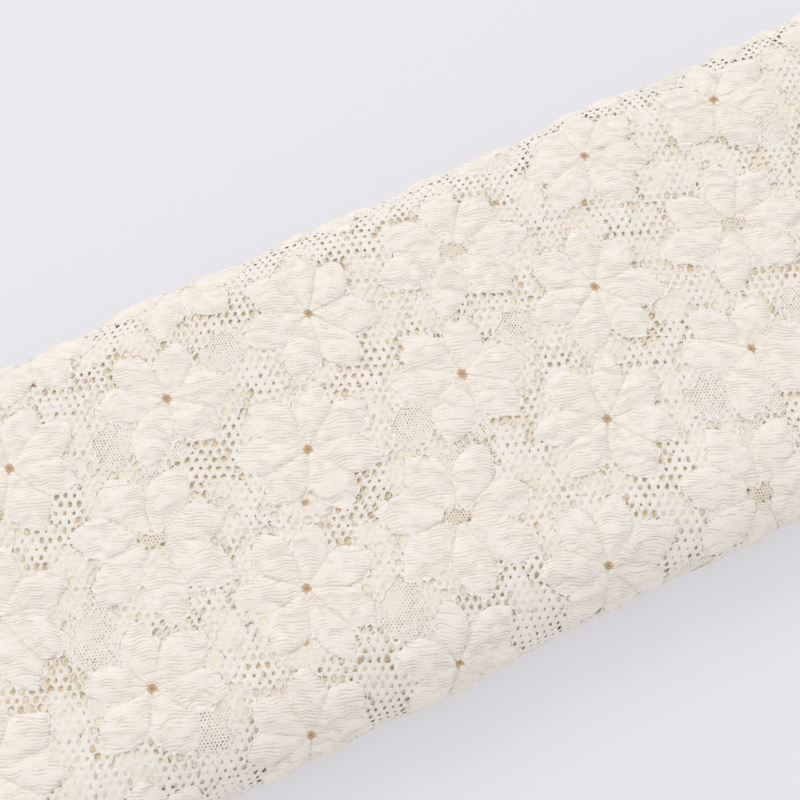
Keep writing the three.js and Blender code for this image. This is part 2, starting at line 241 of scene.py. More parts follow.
EVEN_COLUMN_FLOWERS = [
    flower(
        Eye(-1.5, 0.3, ROUND_EYE, ROUND_EYE),
        [(129, 22.4, 12.5), (84.5, 20.3, 11.5), (27.5, 21.7, 12), (-29, 23, 12.5),
         (-60, 25, 12), (-113, 21.2, 12.5), (-174.5, 19.5, 12.5)],
        [(-13, 25, 4, 5)],
    ),
    flower(
        Eye(-0.5, 1.0, ROUND_EYE, ROUND_EYE),
        [(98, 20, 12), (45, 20, 12.5), (148, 20, 12), (-8.5, 20, 12.5), (-51, 22.5, 12.5),
         (-116, 21, 12.5), (-167.5, 19, 12)],
        [],
    ),
    flower(
        Eye(0.2, -1.4, ROUND_EYE, ROUND_EYE),
        [(101, 21.5, 12.5), (57, 19, 12), (146, 22, 12.5), (-5.5, 21, 12.5),
         (-51.5, 22.5, 12), (-98, 22, 11.5), (-157.5, 20.5, 12.5)],
        [],
    ),
    flower(
        Eye(-0.5, 0.2, ROUND_EYE, ROUND_EYE),
        [(136, 22.3, 12.5), (81, 19.2, 11.5), (36, 21, 12), (-13.5, 21.5, 12),
         (-58, 23, 12.5), (-121, 19.2, 12.5), (-174.5, 20.8, 12)],
        [],
    ),
]
FLOWERS = ODD_COLUMN_FLOWERS + EVEN_COLUMN_FLOWERS

row_line = unit(COLUMN_TURN)
column_line = unit(ROW_TURN)
to_cloth = np.stack([row_line, column_line], axis=1)
to_pattern = np.linalg.inv(to_cloth)


def flowers_between(low, high):
    """The eyes' centres, for each kind of flower, that reach a stretch of the cloth."""
    found = [[] for _ in FLOWERS]
    for column in range(-40, 46):
        is_even = column % 2 == 0
        for row in range(-60, 60):
            number = row % 4 + (len(ODD_COLUMN_FLOWERS) if is_even else 0)
            eye = FLOWERS[number].eye
            up = -(row + (EVEN_COLUMN_DROP if is_even else 0))
            centre = MIDDLE_PLACE + row_line * ((column - MIDDLE_COLUMN) * COLUMN_PITCH + eye.row)
            centre = centre + column_line * (up * ROW_PITCH + eye.column)
            is_on_length = abs(centre[0]) < END + FLOWER_REACH
            if is_on_length and low - FLOWER_REACH < centre[1] < high + FLOWER_REACH:
                found[number].append(centre)
    return [np.array(centres).reshape(-1, 2) for centres in found]


outer_flowers = flowers_between(UNDER_LAP_GIRTH, LAP_GIRTH)
print("flowers of each kind on the outer turn:", [len(centres) for centres in outer_flowers])

# %% [markdown]
# A petal is narrow at its root, widest past its middle and drawn to a soft point at its tip. The
# outline is a formula of the place along it, which the net also needs: holes stop where a petal
# covers them.

# %% The outline of a petal
PETAL_ROOT_WIDTH = 0.3  # of the petal's width
PETAL_WIDEST = 0.54  # of the way from root to tip
TIP_POINT = 0.86  # 0.5 would make the end of a petal half an ellipse, and more makes it narrower
SEAM_OVERLAP = 0.3  # how far two neighbours reach past the seam between them


def half_width(petal, place):
    rise = np.sin(math.pi / 2 * np.clip(place / PETAL_WIDEST, 0, 1))
    past = np.clip((place - PETAL_WIDEST) / (1 - PETAL_WIDEST), 0, 1)
    return petal.width / 2 * mix(PETAL_ROOT_WIDTH, 1, rise) * (1 - past * past) ** TIP_POINT


def reach_aside(petal, place, is_left):
    """How far a petal reaches to one side, which is no further than its seam."""
    from_eye = mix(petal.root, petal.tip, place)
    seam = from_eye * np.where(is_left, petal.left, petal.right) + SEAM_OVERLAP
    return np.minimum(half_width(petal, place), seam)


def petal_lines(petal):
    """The direction from root to tip, and the one across it."""
    out = to_cloth @ unit(petal.turn)
    across = np.array([-out[1], out[0]]) / np.linalg.norm(out)
    return out, across


def petal_place(petal, away):
    """How far from root to tip a place lies, and how far to the side, in mm."""
    out, across = petal_lines(petal)
    place = (away @ out / (out @ out) - petal.root) / (petal.tip - petal.root)
    return place, away @ across


def petal_outline(petal, steps=120):
    out, across = petal_lines(petal)
    place = np.sin(math.pi / 2 * np.linspace(0, 1, steps))
    middle = mix(petal.root, petal.tip, place)[:, None] * out
    left = reach_aside(petal, place, True)[:, None] * across
    right = reach_aside(petal, place, False)[:, None] * across
    return np.concatenate([middle + left, (middle - right)[::-1]])


def inside_petals(points, flowers):
    """How deep in a petal each place lies, in mm: less than nothing in the open net."""
    deepest = np.full(len(points), -FLOWER_REACH)
    for kind, centres in zip(FLOWERS, flowers):
        for centre in centres:
            near = np.flatnonzero(np.abs(points - centre).max(axis=1) < FLOWER_REACH)
            away = points[near] - centre
            for petal in kind.petals:
                place, aside = petal_place(petal, away)
                length = petal.tip - petal.root
                depth = half_width(petal, np.clip(place, 0, 0.97)) - np.abs(aside)
                depth = np.minimum(depth, (1 - place) * length)
                depth = np.minimum(depth, (place + 0.08) * length)
                deepest[near] = np.maximum(deepest[near], depth)
    return deepest


print("petals in the chart:", sum(len(kind.petals) for kind in FLOWERS))


# %% [markdown]
# A petal's surface is lofted from rows of stitches. Each row is a chord of the outline, along
# the row line, and three rows make a rib: two on its crest and one down in the groove beside
# it. The groove row is a little shorter, which nicks the petal's edge as the real ribs do. A
# bump map alone would leave that edge smooth. The rim is a quarter round that starts just under
# the net, and the root is drawn down where the petals are gathered round the eye.

# %% Loft a petal from its rows of stitches
RIB_PITCH = 0.92
GROOVE_HALF_WIDTH = 0.22
GROOVE_NICK = 0.26  # how much shorter a groove is than its rib, at each end
LOOSE_END = 0.36  # how much a rib may end before or past the petal's outline
PETAL_HEIGHT = 1.3
PETAL_BASE = -0.12
RIM_ROUND = 2.8  # mm over which the rim curves up
ROOT_HEIGHT = 0.5  # of the full height, where petals are gathered
ROUND_SHARE = 0.4  # of the height comes from the rounded rim,
SLOPE_SHARE = 0.25  # from a softer slope behind it,
CROWN_SHARE = 0.35  # and from the crown over the whole petal
RIM_CROWDING = 0.7  # how much closer together the points of a row lie near its ends
SEAM_SHADE = 0.55  # how much of the grooves' shade a seam between two petals has
Template = namedtuple("Template", "places height groove rim place side quads")


def chord(outline, level):
    """Where a row of stitches enters and leaves the outline."""
    start = outline
    stop = np.roll(outline, -1, axis=0)
    crosses = (start[:, 1] - level) * (stop[:, 1] - level) <= 0
    start = start[crosses]
    stop = stop[crosses]
    rise = stop[:, 1] - start[:, 1]
    share = (level - start[:, 1]) / np.where(rise == 0, 1, rise)
    along = mix(start[:, 0], stop[:, 0], share)
    return along.min(), along.max()


def grid_quads(rows, columns):
    corner = np.arange((rows - 1) * columns).reshape(rows - 1, columns)[:, :-1].ravel()
    return np.stack([corner, corner + 1, corner + columns + 1, corner + columns], axis=1)


def petal_template(petal, row_step, stitch_step):
    outline = petal_outline(petal)
    flat = outline @ to_pattern.T
    low = flat[:, 1].min()
    high = flat[:, 1].max()
    numbers = np.arange(math.floor(low / row_step) + 1, math.ceil(high / row_step))
    rows_in_rib = max(1, round(RIB_PITCH / row_step))
    turn_in_rib = numbers % rows_in_rib
    rows = numbers * row_step
    if rows_in_rib == 3:
        rows = rows + (GROOVE_HALF_WIDTH - row_step) * np.array([0, 1, -1])[turn_in_rib]
    levels = np.concatenate([[low + 0.03], np.clip(rows, low + 0.05, high - 0.05), [high - 0.03]])
    groove = np.concatenate([[0.0], (turn_in_rib == 0) & (rows_in_rib > 1), [0.0]])
    chords = np.array([chord(flat, level) for level in levels])
    length = chords[:, 1] - chords[:, 0]
    nick = np.minimum(GROOVE_NICK, length * 0.1) * groove
    chords = chords + np.stack([nick, -nick], axis=1)
    rib_number = np.concatenate([[0], numbers // rows_in_rib, [0]])
    loose = np.minimum(LOOSE_END, length * 0.1)
    ends = np.stack([scatter(rib_number, 1, 58), scatter(rib_number, 2, 58)], axis=1)
    chords = chords + loose[:, None] * ends
    count = round(length.max() / stitch_step) + 3
    even = np.linspace(0, 1, count)
    share = mix(even, (1 - np.cos(math.pi * even)) / 2, RIM_CROWDING)
    along = mix(chords[:, :1], chords[:, 1:], share)
    pattern = np.stack([along, np.broadcast_to(levels[:, None], along.shape)], axis=-1)
    places = pattern.reshape(-1, 2) @ to_cloth.T
    gaps = np.linalg.norm(places[:, None] - outline[None], axis=-1).min(axis=1)
    rim = gaps.reshape(along.shape)
    rim[[0, -1]] = 0
    rim[:, [0, -1]] = 0
    place, aside = petal_place(petal, places)
    place = place.reshape(along.shape)
    aside = aside.reshape(along.shape)
    side = aside / (petal.width / 2)
    seam = mix(petal.root, petal.tip, place) * np.where(aside > 0, petal.left, petal.right)
    at_seam = 1 - smooth(seam - np.abs(aside), -SEAM_OVERLAP, 0.5)
    curve = np.sqrt(1 - (1 - np.clip(rim / RIM_ROUND, 0, 1)) ** 2)
    slope = smooth(rim, 0, RIM_ROUND)
    crown = smooth(rim, 0, petal.width * 0.45)
    gather = mix(ROOT_HEIGHT, 1, smooth(place, 0, 0.42))
    shape = ROUND_SHARE * curve + SLOPE_SHARE * slope + CROWN_SHARE * crown
    height = PETAL_HEIGHT * gather * shape
    # Painted shade in the grooves, and along the seams between petals, where shade falls.
    groove = np.maximum(groove[:, None] * smooth(rim, -0.2, 0.5), SEAM_SHADE * at_seam)
    quads = grid_quads(*along.shape)
    columns = (height, groove, rim, place, side)
    return Template(places, *(column.ravel() for column in columns), quads)


# %% [markdown]
# Every part of the lace is kept as plain arrays until it is whole: points on the flat cloth, with
# what the finish needs to know of each, and faces. Parts are then easy to join, and to cut where
# the cloth ends. Real cloth never lies quite true, so one function draws the pattern askew.

# %% Lace as arrays
EDGE_MARGIN = 2.6  # petals and net stop this far from a cut side, under its firm band
END_FADE = 4.0
FAR_FROM_RIM = 9.0
# What a point or a face of the lace is: where it lies on the roll, how far it stands out, where
# it lies on the flat cloth, how far it is from a petal's rim and how much painted shade it has
# for lying in a groove, a seam or a hole.
# A face's anchor is the girth that decides which strip of the roll it goes to.
Lace = namedtuple("Lace", "along girth out cloth rim groove faces anchor")
OUT_OF_TRUE = [  # size and pitch in mm
    {"size": 1.3, "pitch": 75, "seed": 11},
    {"size": 0.45, "pitch": 21, "seed": 13},
    {"size": 0.2, "pitch": 6.5, "seed": 15},
]
NO_AREA = 1e-4  # mm2, under which a face that was cut away is taken to be gone


def warped(x, y):
    """The cloth as it really lies: the pattern drawn a little out of true."""
    for pull in OUT_OF_TRUE:
        dx = pull["size"] * drift(x, y, pull["pitch"], pull["seed"])
        dy = pull["size"] * drift(x, y, pull["pitch"], pull["seed"] + 1)
        x = x + dx
        y = y + dy
    return x, y


def edge_fade(x, y, low, high):
    """Relief dies out towards the cut sides and the two ends of a stretch of cloth."""
    from_side = END - EDGE_MARGIN - np.abs(x)
    return smooth(from_side, 0, END_FADE) * smooth(np.minimum(y - low, high - y), 0, END_FADE)


def cut(lace, low, high):
    """The cloth cut at its sides and ends: faces beyond a cut have no area left and go."""
    limit = END - EDGE_MARGIN
    x = np.clip(lace.along, -limit, limit)
    y = np.clip(lace.girth, low, high)
    ring_x = x[lace.faces]
    ring_y = y[lace.faces]
    next_x = np.roll(ring_x, -1, axis=1)
    next_y = np.roll(ring_y, -1, axis=1)
    area = np.abs((ring_x * next_y - next_x * ring_y).sum(axis=1)) / 2
    kept = area > NO_AREA
    return lace._replace(along=x, girth=y, faces=lace.faces[kept], anchor=lace.anchor[kept])


def join_lace(sets):
    total = 0
    moved = []
    for lace in sets:
        moved.append(lace._replace(faces=lace.faces + total))
        total += len(lace.along)
    return Lace(*(np.concatenate([lace[k] for lace in moved]) for k in range(len(Lace._fields))))


def copied(quads, cloth, x, y, out, rim, groove, anchor):
    """Lace from many copies of one small grid, with a row of x and y for each copy."""
    copies, count = x.shape
    out, rim, groove = (np.broadcast_to(value, x.shape).ravel() for value in (out, rim, groove))
    faces = quads[None] + (np.arange(copies) * count)[:, None, None]
    return Lace(x.ravel(), y.ravel(), out, cloth.reshape(-1, 2), rim, groove,
                faces.reshape(-1, 4), np.repeat(anchor, len(quads)))


# %% [markdown]
# The templates are then set down at every flower. Each copy gets its own height, tilt and bend,
# and noise in the pattern's directions makes the ribs wander, swells and creases the surface,
# and breaks the grooves here and there, so no two petals are alike.

# %% Set the petals on the cloth
Ripple = namedtuple("Ripple", "size along across pitch seed")
RIPPLES = [  # how far the ribs wander, in mm, with noise stretched along and across the rows
    Ripple(0.7, 1.5, 0.7, 3.6, 54),
    Ripple(0.34, 0.6, 1, 1.9, 55),
    Ripple(0.5, 0.6, 1, 6.5, 56),
]
MOST_LEAN = 1.3  # mm by which the ribs of a petal lean to one side
MOST_BOW = 2.4  # and by which they bow
HEIGHT_SPREAD = 0.2  # of a petal's height
TILT_SPREAD = 0.26
SWELL = 0.2  # mm by which the surface swells
CREASE = 0.16  # and by which it creases along the ribs
WORN_GROOVE = 0.1  # of a groove's depth is left where it is most worn
DEEP_GROOVE = 1.15


def set_petals(flowers, low, high, row_step, stitch_step, groove_size, tallness):
    """Every petal between two girths of the cloth, as one set of points and faces."""
    parts = []
    for kind, centres in zip(FLOWERS, flowers):
        for number, petal in enumerate(kind.petals):
            if len(centres) == 0:
                continue
            shape = petal_template(petal, row_step, stitch_step)
            cloth = centres[:, None] + shape.places[None]
            x, y = warped(cloth[..., 0], cloth[..., 1])
            p, q = np.moveaxis(cloth @ to_pattern.T, -1, 0)
            i = np.round(centres[:, :1])
            j = np.round(centres[:, 1:])
            flat = (shape.places @ to_pattern.T)[:, 0]
            from_middle = (flat - flat.mean()) / petal.width
            ripple = sum(
                wave.size * drift(p * wave.along, q * wave.across, wave.pitch, wave.seed)
                for wave in RIPPLES
            )
            bend = MOST_LEAN * scatter(i, j, 71 + number) * from_middle
            bend = bend + MOST_BOW * scatter(i, j, 81 + number) * (from_middle**2 - 0.1)
            ripple = ripple * smooth(shape.rim, 0.1, 1.2) + bend * smooth(shape.rim, 0, 3.5)
            x = x + ripple * column_line[0]
            y = y + ripple * column_line[1]
            tall = 1 + HEIGHT_SPREAD * scatter(i, j, 31 + number)
            tilt = TILT_SPREAD * scatter(i, j, 41 + number)
            swell = SWELL * drift(x, y, 5.5, 51) + CREASE * drift(p * 0.45, q, 2.3, 52)
            depth_left = smooth(drift(p * 0.55, q, 1.2, 53), -0.55, 0.6)
            depth_left = mix(WORN_GROOVE, DEEP_GROOVE, depth_left)
            # One number sets both a groove's depth and its painted shade.
            groove = shape.groove * mix(depth_left, 1, 1 - smooth(shape.rim, 0, 0.6))
            out = shape.height * tall * (1 + tilt * shape.side) + swell * smooth(shape.rim, 0, 1.6)
            out = out - groove_size * groove
            out = PETAL_BASE + tallness * out * edge_fade(x, y, low, high)
            middle = centres + petal_lines(petal)[0] * (petal.root + petal.tip) / 2
            rim = shape.rim + FAR_FROM_RIM * (1 - smooth(shape.place, 0.1, 0.45))
            parts.append(copied(shape.quads, cloth, x, y, out, rim, groove, middle[:, 1]))
    return cut(join_lace(parts), low, high)


# %% [markdown]
# Near the eye the petals butt against each other, and where they begin to part there is a web
# of gathered cloth between them and not yet a gap. A low strip under each seam makes it, which
# widens as the petals part.

# %% Close the seams between petals
SEAM_REACH = 0.68  # of the way to the petals' tips
SEAM_HEIGHT = 0.2
SEAM_DROP = 0.1  # below the petals' base
# Painted shade along each web, as a share of the groove tint:
NARROW_SHADE = 0.8  # a groove's share of shade in a narrow seam
WIDE_SHADE = 0.2
SEAM_TUCK = 0.7  # how far a web goes on under the petals beside it
SEAM_SIDES = np.array([-1.0, -0.4, 0.4, 1.0])
SEAM_PLACES = np.linspace(0, 1, 6)


def set_seams(flowers, low, high):
    parts = []
    for kind, centres in zip(FLOWERS, flowers):
        petals = sorted(kind.petals, key=lambda petal: petal.turn % 360)
        for petal, after in zip(petals, petals[1:] + petals[:1]):
            if len(centres) == 0:
                continue
            gap = (after.turn - petal.turn) % 360
            out = to_cloth @ unit(petal.turn + gap / 2)
            across = np.array([-out[1], out[0]])
            root = max(petal.root, after.root)
            from_eye = mix(root - 0.2, SEAM_REACH * min(petal.tip, after.tip), SEAM_PLACES)
            place = np.clip((from_eye - petal.root) / (petal.tip - petal.root), 0, 1)
            half = (from_eye * petal.left - half_width(petal, place)).clip(0) + SEAM_TUCK
            aside = half[:, None] * SEAM_SIDES
            places = (from_eye[:, None, None] * out + aside[:, :, None] * across).reshape(-1, 2)
            ridge = (1 - SEAM_SIDES**2) * np.sin(math.pi * SEAM_PLACES[:, None]) ** 0.5
            cloth = centres[:, None] + places[None]
            x, y = warped(cloth[..., 0], cloth[..., 1])
            height = PETAL_BASE - SEAM_DROP + SEAM_HEIGHT * ridge.ravel()
            quads = grid_quads(len(SEAM_PLACES), len(SEAM_SIDES))[:, ::-1]
            wide = smooth(half - SEAM_TUCK, 0.1, 1.2)
            # Painted shade along the web, strongest where the seam is narrow.
            shade = np.repeat(NARROW_SHADE - (NARROW_SHADE - WIDE_SHADE) * wide, len(SEAM_SIDES))
            parts.append(
                copied(quads, cloth, x, y, height, FAR_FROM_RIM, shade, centres[:, 1])
            )
    return cut(join_lace(parts), low, high)


# %% [markdown]
# A round eye is a small hole, deep in shade, so a little dish of cloth lies in it, painted with
# that shade in brown. The flowers of an even column have one more such hole, smaller, where the
# seam under the eye ends.

# %% Put a dish in each round eye
SEAM_END = to_cloth @ np.array([-1.0, -15.8])  # from a flower's eye to the hole at its lower seam
SEAM_HOLE_SIZE = 0.6  # of an eye's
DISH_SIZES = np.array([0.2, 1.1, 2.2])
DISH_DEPTHS = np.array([-0.06, -0.08, -0.1])
# Painted shade in a dish, darkest in its middle
DISH_SHADES = np.array([1.0, 0.8, 0.5])


def round_gaps(flowers):
    """The centres of all round eyes, and of all holes where a seam ends."""
    eyes = [found for kind, found in zip(FLOWERS, flowers) if kind.eye.half_width == ROUND_EYE]
    seam_ends = [found + SEAM_END for found in flowers[len(ODD_COLUMN_FLOWERS):]]
    return np.concatenate(eyes), np.concatenate(seam_ends)


def set_eyes(flowers, low, high, spokes=8):
    turns = np.linspace(0, 360, spokes + 1)
    rays = np.array([unit(turn) for turn in turns])
    places = (DISH_SIZES[:, None, None] * rays).reshape(-1, 2)
    eyes, seam_ends = round_gaps(flowers)
    centres = np.concatenate([eyes, seam_ends])
    sizes = np.concatenate([np.ones(len(eyes)), np.full(len(seam_ends), SEAM_HOLE_SIZE)])
    cloth = centres[:, None] + places[None] * sizes[:, None, None]
    x, y = warped(cloth[..., 0], cloth[..., 1])
    quads = grid_quads(len(DISH_SIZES), spokes + 1)[:, ::-1]
    depth = np.repeat(DISH_DEPTHS, spokes + 1)
    shade = np.repeat(DISH_SHADES, spokes + 1)
    dishes = copied(quads, cloth, x, y, depth, FAR_FROM_RIM, shade, centres[:, 1])
    return cut(dishes, low, high)


# %% [markdown]
# The ground is a knitted net. Its open part is a honeycomb of long holes, about 2 mm across,
# with a knot where three strands meet, and its fine part is the same thing at less than half
# the pitch. A lattice with whole-number corners lets neighbouring cells share their strands:
# each cell is a ring of faces from the ridge of its strands down to the rim of its hole. Cells
# well under a petal are left out, and cells just under its rim are nearly closed and simpler.

# %% Knit the net
OPEN_PITCH = 2.5  # of a wale and of a course, mm
FINE_WALE = 0.98
FINE_COURSE = 0.86
# A cell's ring of corners and middles of sides, in quarters of a wale and sixths of a course
RING = np.array(
    [(0, 4), (1, 3), (2, 2), (2, 0), (2, -2), (1, -3), (0, -4), (-1, -3), (-2, -2), (-2, 0),
     (-2, 2), (-1, 3)]
)
# How much a hole is drawn in along the rows and drawn out along the wales
HOLE_SHAPE = to_cloth @ np.diag([0.88, 1.1]) @ to_pattern
HOLE_UNEVEN = 0.16
HOLE_ROUNDING = 0.25
STRAND_SPREAD = 0.09  # mm of height
# A net's shade is the painted shade at the rims of its holes; a net with less there is darkened a
# little on its strands.
Net = namedtuple("Net", "wale course ring jitter ridge knot rim_drop shade")
OPEN_NET = Net(OPEN_PITCH, OPEN_PITCH, RING, 0.42, 0.08, 0.24, -0.24, 1.0)
PLAIN_NET = Net(OPEN_PITCH, OPEN_PITCH, RING[::2], 0.42, 0.1, 0.16, -0.2, 1.0)
FINE_NET = Net(FINE_WALE, FINE_COURSE, RING[::2], 0.12, 0.04, 0.09, -0.05, 0.55)


def net_cells(net, low, high):
    """The whole-number centres of all cells on a stretch of the cloth."""
    corners = np.array([(-END, low), (END, low), (END, high), (-END, high)]) @ to_pattern.T
    first = np.floor(corners.min(axis=0) / (net.wale, net.course)).astype(int) - 1
    last = np.ceil(corners.max(axis=0) / (net.wale, net.course)).astype(int) + 1
    j, i = np.meshgrid(np.arange(first[1], last[1]), np.arange(first[0], last[0]))
    keys = np.stack([4 * i.ravel() + 2 * (j.ravel() % 2), 6 * j.ravel()], axis=1)
    places = net_places(net, keys)
    limit = END - EDGE_MARGIN + net.wale / 2
    keep = (np.abs(places[:, 0]) < limit) & (places[:, 1] > low - 2) & (places[:, 1] < high + 2)
    return keys[keep], places[keep]


def net_places(net, keys):
    pattern = keys * (net.wale / 4, net.course / 6)
    return pattern @ to_cloth.T


def knit(net, keys, openness, lift, low, high):
    """Rings of faces, from the strands' ridge to the rim of each hole."""
    sides = len(net.ring)
    ring_keys = (keys[:, None] + net.ring[None]).reshape(-1, 2)
    unique, index = np.unique(ring_keys, axis=0, return_inverse=True)
    index = index.reshape(-1, sides)
    jitter = np.stack([scatter(*unique.T, 61), scatter(*unique.T, 62)], axis=1) * net.jitter
    strands = net_places(net, unique) + jitter
    is_knot = unique[:, 1] % 2 == 0
    ridge = np.where(is_knot, net.knot, net.ridge) + STRAND_SPREAD * scatter(*unique.T, 63)
    around = strands[index]
    middle = around.mean(axis=1, keepdims=True)
    spoke = around - middle
    length = np.linalg.norm(spoke, axis=-1, keepdims=True)
    even_length = length.mean(axis=1, keepdims=True)
    rounder = spoke / length * mix(length, even_length, HOLE_ROUNDING)
    corner = np.arange(sides)[None]
    uneven = 1 + HOLE_UNEVEN * scatter(keys[:, :1] + 7 * corner, keys[:, 1:], 64)
    rounder = rounder * uneven[..., None]
    hole = middle + rounder @ HOLE_SHAPE.T * openness[:, None, None]
    count = len(strands)
    places = np.concatenate([strands, hole.reshape(-1, 2)])
    rims = len(keys) * sides
    out = np.concatenate([ridge, np.full(rims, net.rim_drop)]) + lift
    # Painted shade down each hole's wall, at its rim; a net with less shade there is darkened on
    # its strands instead.
    groove = np.concatenate([np.full(count, 1.5 * (1 - net.shade)), np.full(rims, net.shade)])
    hole_index = count + np.arange(rims).reshape(-1, sides)
    faces = np.stack(
        [index, np.roll(index, -1, axis=1), np.roll(hole_index, -1, axis=1), hole_index], axis=-1
    ).reshape(-1, 4)[:, ::-1]
    anchor = np.repeat(middle[:, 0, 1], sides)
    x, y = warped(places[:, 0], places[:, 1])
    rim = np.full(len(x), FAR_FROM_RIM)
    return cut(Lace(x, y, out, places, rim, groove, faces, anchor), low, high)


# %% [markdown]
# Where each net goes follows from the petals. The holes beside a petal are the largest, because
# its gathered stitches pull the net open, and round the long edges the holes are drawn smaller.
# The fine net fills the half moons and a few round patches between the flowers.

# %% Lay out both nets
def in_patches(points, flowers, grow):
    """Which places lie in a patch of fine net, grown by so many mm."""
    found = np.zeros(len(points), bool)
    for kind, centres in zip(FLOWERS, flowers):
        for patch in kind.patches:
            line = to_cloth @ unit(patch.turn)
            across = np.array([-line[1], line[0]])
            for centre in centres + line * patch.reach:
                away = points - centre
                reach = np.hypot(
                    away @ line / (patch.along + grow), away @ across / (patch.across + grow)
                )
                found |= reach < 1
    return found


def is_near(points, centres, room):
    """Which places lie within so many mm of any of the centres."""
    found = np.zeros(len(points), bool)
    for centre in centres:
        found |= np.linalg.norm(points - centre, axis=1) < room
    return found


EDGE_TIGHTNESS = 0.3  # the cloth is pulled round the long edges, which closes its holes a little
UNDER_PETAL = 1.5  # cells whose centre lies deeper than this are out of sight
OPEN_HOLE = 0.38  # of its cell's size
HOLE_SPREAD = 0.15  # more or less from cell to cell
HOLE_DRIFT = 0.14  # and from place to place
RIM_HOLE = 0.27  # more beside a petal
LEAST_HOLE = 0.14
MOST_HOLE = 0.8
PATCH_HOLE = 0.22  # where the resting face has a fine patch
SEAM_END_HOLE = 0.85
OPEN_EYE_ROOM = 3.2  # mm from a round eye to the first cells
SEAM_END_ROOM = 1.45


def open_net(net, flowers, low, high, has_patches):
    """The open net, with its fine patches left out or drawn nearly closed."""
    keys, places = net_cells(net, low, high)
    depth = inside_petals(places, flowers)
    in_fine = in_patches(places, flowers, -PATCH_OVERLAP if has_patches else 0)
    keep = depth < (UNDER_PETAL if has_patches else 0)
    eyes, seam_ends = round_gaps(flowers)
    keep &= ~is_near(places, eyes, OPEN_EYE_ROOM)
    if has_patches:
        keep &= ~in_fine
    keys = keys[keep]
    places = places[keep]
    outside = -depth[keep]
    openness = OPEN_HOLE + HOLE_SPREAD * scatter(*keys.T, 71)
    openness = openness + HOLE_DRIFT * drift(*places.T, 8, 72)
    openness = openness + RIM_HOLE * (1 - smooth(outside, 1.5, 3.7))
    on_edge = smooth(np.abs(np.abs(places[:, 1]) - HALF_FLAT - EDGE_LENGTH / 2), 26, 14)
    openness = openness * (1 - EDGE_TIGHTNESS * on_edge)
    openness = mix(LEAST_HOLE, openness, smooth(outside, -0.5, 0.6))
    openness = np.where(in_fine[keep], PATCH_HOLE, openness)
    openness = np.clip(openness, LEAST_HOLE, MOST_HOLE)
    openness = np.where(is_near(places, seam_ends, SEAM_END_ROOM), SEAM_END_HOLE, openness)
    is_hidden = outside < -0.5
    hidden = knit(PLAIN_NET, keys[is_hidden], openness[is_hidden], 0, low, high)
    shown = knit(net, keys[~is_hidden], openness[~is_hidden], 0, low, high)
    return join_lace([shown, hidden])


MOON_ROOM = 7.0  # mm round a half moon in which the fine net is darker
MOON_SHADE = 1.4
FINE_HOLE = 0.33
FINE_SPREAD = 0.13
FINE_DRIFT = 0.12
LEAST_FINE_HOLE = 0.15
MOST_FINE_HOLE = 0.7
FINE_UNDER_PETAL = 1.3
FINE_EYE_ROOM = 2.4
FINE_LIFT = -0.04
PATCH_OVERLAP = 0.9  # mm by which the fine net reaches under the open net, and past its patch


def fine_net(flowers, low, high):
    keys, places = net_cells(FINE_NET, low, high)
    keep = in_patches(places, flowers, PATCH_OVERLAP)
    keys = keys[keep]
    places = places[keep]
    depth = inside_petals(places, flowers)
    eyes, _ = round_gaps(flowers)
    keep = (depth < FINE_UNDER_PETAL) & ~is_near(places, eyes, FINE_EYE_ROOM)
    keys = keys[keep]
    places = places[keep]
    openness = FINE_HOLE + FINE_SPREAD * scatter(*keys.T, 73)
    openness = openness + FINE_DRIFT * drift(*places.T, 4, 74)
    openness = np.clip(openness, LEAST_FINE_HOLE, MOST_FINE_HOLE)
    lace = knit(FINE_NET, keys, openness, FINE_LIFT, low, high)
    moons = [found for kind, found in zip(FLOWERS, flowers) if kind.eye.half_width != ROUND_EYE]
    at_eye = is_near(lace.cloth, np.concatenate(moons), MOON_ROOM)
    return lace._replace(groove=np.where(at_eye, MOON_SHADE, lace.groove))


# %% [markdown]
# A mesh is quickest to make from whole arrays, with foreach_set, and a face list of four-sided
# faces. Two attributes go with each point, because a material can read them in any view and
# after export: where the point lies in the pattern with how far it is from a petal's rim, and
# how much painted shade it has for lying in a groove, a seam or a hole.

# %% Turn arrays into a mesh piece
def make_piece(name, points, lace, materials, face_material):
    used, flat_faces = np.unique(lace.faces, return_inverse=True)
    faces = flat_faces.reshape(lace.faces.shape)
    mesh = bpy.data.meshes.new(name)
    mesh.vertices.add(len(used))
    mesh.vertices.foreach_set("co", points[used].astype(np.float32).ravel())
    mesh.loops.add(faces.size)
    mesh.loops.foreach_set("vertex_index", faces.astype(np.int32).ravel())
    mesh.polygons.add(len(faces))
    mesh.polygons.foreach_set("loop_start", np.arange(0, faces.size, 4, dtype=np.int32))
    mesh.polygons.foreach_set("material_index", face_material.astype(np.int32))
    mesh.update(calc_edges=True)
    mesh.validate()
    pattern = np.concatenate([lace.cloth[used] @ to_pattern.T, lace.rim[used, None]], axis=1)
    attribute = mesh.attributes.new("cloth", "FLOAT_VECTOR", "POINT")
    attribute.data.foreach_set("vector", pattern.astype(np.float32).ravel())
    # the painted shade of grooves, seams and holes
    attribute = mesh.attributes.new("groove", "FLOAT", "POINT")
    attribute.data.foreach_set("value", lace.groove[used].astype(np.float32))
    mesh.shade_smooth()
    for material in materials:
        mesh.materials.append(material)
    piece = bpy.data.objects.new(name, mesh)
    bpy.context.scene.collection.objects.link(piece)
    mesh.calc_loop_triangles()
    print(f"{name}: {len(mesh.loop_triangles)} triangles")
    return piece


